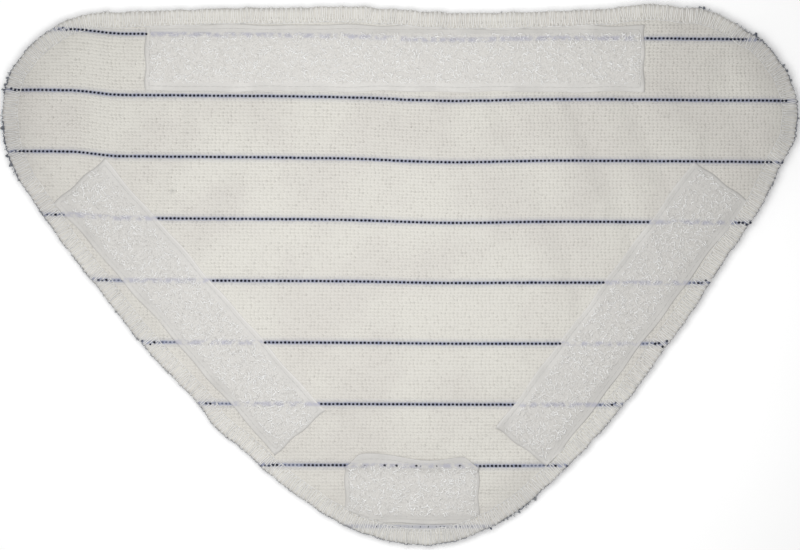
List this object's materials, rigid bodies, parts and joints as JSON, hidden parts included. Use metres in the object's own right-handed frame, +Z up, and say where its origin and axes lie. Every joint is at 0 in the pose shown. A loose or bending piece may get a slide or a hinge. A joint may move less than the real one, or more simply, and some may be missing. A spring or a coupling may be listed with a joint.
{
  "type": "steam mop pad",
  "caption": "Washable triangular steam-mop pad: striped microfibre cloth with an overlocked edge and loop tapes sewn to its back.",
  "frame": {"origin": "on the floor, below the middle of the pad's bounding box, with the fastening side up", "axes": "+X to the right across the pad's width, +Y towards the straight back edge, away from the rounded tip, +Z up, out of the fastening side"},
  "size_m": [0.32, 0.217, 0.0088],
  "materials": {
    "microfibre": "matte",
    "ground_knit": "matte",
    "stripe_yarn": "matte",
    "tape_base": "satin",
    "tape_loops": "satin",
    "sewing_thread": "satin",
    "overlock_thread": "satin"
  },
  "bodies": {
    "root": {"microfibre_pile": "microfibre", "ground_cloth": "ground_knit", "stripe_yarn_1": "stripe_yarn", "stripe_yarn_2": "stripe_yarn", "stripe_yarn_3": "stripe_yarn", "stripe_yarn_4": "stripe_yarn", "stripe_yarn_5": "stripe_yarn", "stripe_yarn_6": "stripe_yarn", "stripe_yarn_7": "stripe_yarn", "stripe_yarn_8": "stripe_yarn", "stripe_yarn_9": "stripe_yarn", "back_loop_tape": "tape_base", "back_loop_nap": "tape_loops", "back_tape_seam": "sewing_thread", "left_loop_tape": "tape_base", "left_loop_nap": "tape_loops", "left_tape_seam": "sewing_thread", "right_loop_tape": "tape_base", "right_loop_nap": "tape_loops", "right_tape_seam": "sewing_thread", "front_loop_tape": "tape_base", "front_loop_nap": "tape_loops", "front_tape_seam": "sewing_thread", "overlock_needle_thread": "overlock_thread", "overlock_upper_looper_thread": "overlock_thread", "overlock_lower_looper_thread": "overlock_thread"}
  },
  "joints": []
}
